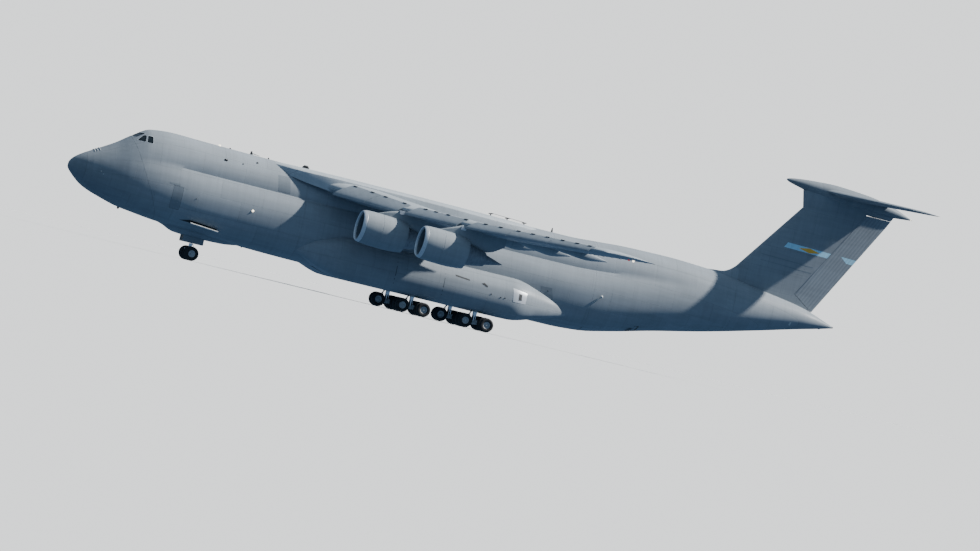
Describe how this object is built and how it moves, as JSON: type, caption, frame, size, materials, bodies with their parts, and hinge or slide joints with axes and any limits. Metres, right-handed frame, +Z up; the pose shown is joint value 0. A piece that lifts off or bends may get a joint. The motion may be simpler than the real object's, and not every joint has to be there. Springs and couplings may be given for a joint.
{
  "type": "military transport plane, half-scale model",
  "caption": "High-winged T-tailed heavy military transport plane on its landing gear, with a lifting nose visor, aft ramp, spinning fans and rolling wheels.",
  "frame": {"origin": "on the ground, under the middle of the overall length and span", "axes": "+X towards the nose, +Y to port, +Z up"},
  "size_m": [37.655, 33.95, 9.9019],
  "materials": {
    "paint": "matt mid grey aircraft paint",
    "radome": "matt grey painted glass fibre",
    "glass": "tinted laminated glass",
    "deck": "worn grey deck paint",
    "hot_metal": "heat-tinted nickel alloy",
    "blade": "dark satin blades",
    "gear_paint": "gloss white-grey gear paint",
    "tyre": "worn black rubber"
  },
  "bodies": {
    "root": {"fuselage_forward": "paint", "fuselage_centre": "paint", "fuselage_aft": "paint", "tail_cone": "paint", "nose_gear_fairing": "paint", "wing_centre_fairing": "paint", "flight_deck_glazing": "glass", "cargo_floor": "deck", "gear_pod_port": "paint", "wing_port": "paint", "flaps_port": "paint", "engine_pod_inner_port": "paint", "engine_core_inner_port": "hot_metal", "engine_pod_outer_port": "paint", "engine_core_outer_port": "hot_metal", "main_leg_front_port": "gear_paint", "main_leg_rear_port": "gear_paint", "gear_pod_starboard": "paint", "wing_starboard": "paint", "flaps_starboard": "paint", "engine_pod_inner_starboard": "paint", "engine_core_inner_starboard": "hot_metal", "engine_pod_outer_starboard": "paint", "engine_core_outer_starboard": "hot_metal", "main_leg_front_starboard": "gear_paint", "main_leg_rear_starboard": "gear_paint", "fin": "paint", "tailplane": "paint", "nose_gear_leg": "gear_paint"},
    "visor": {"visor": "paint", "radome": "radome"},
    "forward_ramp": {"forward_ramp": "deck"},
    "aft_ramp": {"aft_ramp": "paint"},
    "aft_door_port": {"aft_door_port": "paint"},
    "aft_door_starboard": {"aft_door_starboard": "paint"},
    "crew_door": {"crew_door": "paint"},
    "aileron_port": {"aileron_port": "paint"},
    "aileron_starboard": {"aileron_starboard": "paint"},
    "elevator_port": {"elevator_port": "paint"},
    "elevator_starboard": {"elevator_starboard": "paint"},
    "rudder": {"rudder": "paint"},
    "fan_inner_port": {"fan_inner_port": "blade"},
    "fan_outer_port": {"fan_outer_port": "blade"},
    "fan_inner_starboard": {"fan_inner_starboard": "blade"},
    "fan_outer_starboard": {"fan_outer_starboard": "blade"},
    "nose_gear_piston": {"nose_gear_piston": "gear_paint"},
    "nose_wheels_port": {"nose_wheels_port": "tyre"},
    "nose_wheels_starboard": {"nose_wheels_starboard": "tyre"},
    "wheels_front_leg_front_port": {"wheels_front_leg_front_port": "tyre"},
    "wheels_front_leg_rear_inner_port": {"wheels_front_leg_rear_inner_port": "tyre"},
    "wheels_front_leg_rear_outer_port": {"wheels_front_leg_rear_outer_port": "tyre"},
    "wheels_rear_leg_front_port": {"wheels_rear_leg_front_port": "tyre"},
    "wheels_rear_leg_rear_inner_port": {"wheels_rear_leg_rear_inner_port": "tyre"},
    "wheels_rear_leg_rear_outer_port": {"wheels_rear_leg_rear_outer_port": "tyre"},
    "wheels_front_leg_front_starboard": {"wheels_front_leg_front_starboard": "tyre"},
    "wheels_front_leg_rear_inner_starboard": {"wheels_front_leg_rear_inner_starboard": "tyre"},
    "wheels_front_leg_rear_outer_starboard": {"wheels_front_leg_rear_outer_starboard": "tyre"},
    "wheels_rear_leg_front_starboard": {"wheels_rear_leg_front_starboard": "tyre"},
    "wheels_rear_leg_rear_inner_starboard": {"wheels_rear_leg_rear_inner_starboard": "tyre"},
    "wheels_rear_leg_rear_outer_starboard": {"wheels_rear_leg_rear_outer_starboard": "tyre"}
  },
  "joints": [
    {"name": "visor_lift", "type": "hinge", "parent": "root", "child": "visor", "pos_m": [16.4675, 0, 4.615], "axis": [0, -1, 0], "range_deg": [0, 90]},
    {"name": "forward_ramp_fold", "type": "hinge", "parent": "root", "child": "forward_ramp", "pos_m": [14.4875, 0, 1.59], "axis": [0, 1, 0], "range_deg": [0, 100]},
    {"name": "aft_ramp_lower", "type": "hinge", "parent": "root", "child": "aft_ramp", "pos_m": [-4.8925, 0, 1], "axis": [0, -1, 0], "range_deg": [0, 30]},
    {"name": "aft_door_port_open", "type": "hinge", "parent": "root", "child": "aft_door_port", "pos_m": [-7.3975, 1.142, 1.845], "axis": [0.9719, 0.1046, -0.2108], "range_deg": [0, 80]},
    {"name": "aft_door_starboard_open", "type": "hinge", "parent": "root", "child": "aft_door_starboard", "pos_m": [-7.3975, -1.142, 1.845], "axis": [-0.9719, 0.1046, 0.2108], "range_deg": [0, 80]},
    {"name": "crew_door_open", "type": "hinge", "parent": "root", "child": "crew_door", "pos_m": [14.4525, 1.69, 2], "axis": [-1, 0, 0], "range_deg": [0, 115]},
    {"name": "aileron_port_turn", "type": "hinge", "parent": "root", "child": "aileron_port", "pos_m": [-0.39259, 12.2, 4.29347], "axis": [-0.3561, 0.9339, 0.0327], "range_deg": [-15, 25]},
    {"name": "aileron_starboard_turn", "type": "hinge", "parent": "root", "child": "aileron_starboard", "pos_m": [-0.39259, -12.2, 4.29347], "axis": [0.3561, 0.9339, -0.0327], "range_deg": [-15, 25]},
    {"name": "elevator_port_turn", "type": "hinge", "parent": "root", "child": "elevator_port", "pos_m": [-16.77904, 0.5, 9.57261], "axis": [-0.2417, 0.9703, -0.0046], "range_deg": [-15, 25]},
    {"name": "elevator_starboard_turn", "type": "hinge", "parent": "root", "child": "elevator_starboard", "pos_m": [-16.77904, -0.5, 9.57261], "axis": [0.2417, 0.9703, 0.0046], "range_deg": [-15, 25]},
    {"name": "rudder_turn", "type": "hinge", "parent": "root", "child": "rudder", "pos_m": [-14.3225, 0, 4.82], "axis": [-0.5018, 0, 0.865], "range_deg": [-30, 30]},
    {"name": "fan_inner_port_spin", "type": "hinge", "parent": "root", "child": "fan_inner_port", "pos_m": [7.2275, 6.1, 3.18], "axis": [0.999, 0, 0.0436], "continuous": true},
    {"name": "fan_outer_port_spin", "type": "hinge", "parent": "root", "child": "fan_outer_port", "pos_m": [5.3475, 9.45, 3.115], "axis": [0.999, 0, 0.0436], "continuous": true},
    {"name": "fan_inner_starboard_spin", "type": "hinge", "parent": "root", "child": "fan_inner_starboard", "pos_m": [7.2275, -6.1, 3.18], "axis": [0.999, 0, 0.0436], "continuous": true},
    {"name": "fan_outer_starboard_spin", "type": "hinge", "parent": "root", "child": "fan_outer_starboard", "pos_m": [5.3475, -9.45, 3.115], "axis": [0.999, 0, 0.0436], "continuous": true},
    {"name": "nose_steering", "type": "hinge", "parent": "root", "child": "nose_gear_piston", "pos_m": [12.7275, 0, 0.75], "axis": [0, 0, 1], "range_deg": [-60, 60]},
    {"name": "nose_wheels_port_roll", "type": "hinge", "parent": "nose_gear_piston", "child": "nose_wheels_port", "pos_m": [12.7275, 0.39, 0.31125], "axis": [0, 1, 0], "continuous": true},
    {"name": "nose_wheels_starboard_roll", "type": "hinge", "parent": "nose_gear_piston", "child": "nose_wheels_starboard", "pos_m": [12.7275, -0.39, 0.31125], "axis": [0, 1, 0], "continuous": true},
    {"name": "wheels_front_leg_front_port_roll", "type": "hinge", "parent": "root", "child": "wheels_front_leg_front_port", "pos_m": [3.54, 2.0875, 0.31125], "axis": [0, 1, 0], "continuous": true},
    {"name": "wheels_front_leg_rear_inner_port_roll", "type": "hinge", "parent": "root", "child": "wheels_front_leg_rear_inner_port", "pos_m": [2.715, 1.535, 0.31125], "axis": [0, 1, 0], "continuous": true},
    {"name": "wheels_front_leg_rear_outer_port_roll", "type": "hinge", "parent": "root", "child": "wheels_front_leg_rear_outer_port", "pos_m": [2.715, 2.64, 0.31125], "axis": [0, 1, 0], "continuous": true},
    {"name": "wheels_rear_leg_front_port_roll", "type": "hinge", "parent": "root", "child": "wheels_rear_leg_front_port", "pos_m": [0.64, 2.0875, 0.31125], "axis": [0, 1, 0], "continuous": true},
    {"name": "wheels_rear_leg_rear_inner_port_roll", "type": "hinge", "parent": "root", "child": "wheels_rear_leg_rear_inner_port", "pos_m": [-0.185, 1.535, 0.31125], "axis": [0, 1, 0], "continuous": true},
    {"name": "wheels_rear_leg_rear_outer_port_roll", "type": "hinge", "parent": "root", "child": "wheels_rear_leg_rear_outer_port", "pos_m": [-0.185, 2.64, 0.31125], "axis": [0, 1, 0], "continuous": true},
    {"name": "wheels_front_leg_front_starboard_roll", "type": "hinge", "parent": "root", "child": "wheels_front_leg_front_starboard", "pos_m": [3.54, -2.0875, 0.31125], "axis": [0, 1, 0], "continuous": true},
    {"name": "wheels_front_leg_rear_inner_starboard_roll", "type": "hinge", "parent": "root", "child": "wheels_front_leg_rear_inner_starboard", "pos_m": [2.715, -1.535, 0.31125], "axis": [0, 1, 0], "continuous": true},
    {"name": "wheels_front_leg_rear_outer_starboard_roll", "type": "hinge", "parent": "root", "child": "wheels_front_leg_rear_outer_starboard", "pos_m": [2.715, -2.64, 0.31125], "axis": [0, 1, 0], "continuous": true},
    {"name": "wheels_rear_leg_front_starboard_roll", "type": "hinge", "parent": "root", "child": "wheels_rear_leg_front_starboard", "pos_m": [0.64, -2.0875, 0.31125], "axis": [0, 1, 0], "continuous": true},
    {"name": "wheels_rear_leg_rear_inner_starboard_roll", "type": "hinge", "parent": "root", "child": "wheels_rear_leg_rear_inner_starboard", "pos_m": [-0.185, -1.535, 0.31125], "axis": [0, 1, 0], "continuous": true},
    {"name": "wheels_rear_leg_rear_outer_starboard_roll", "type": "hinge", "parent": "root", "child": "wheels_rear_leg_rear_outer_starboard", "pos_m": [-0.185, -2.64, 0.31125], "axis": [0, 1, 0], "continuous": true}
  ],
  "couplings": [
    {"joint": "forward_ramp_fold", "follows": "visor_lift", "ratio": 1.1111}
  ]
}
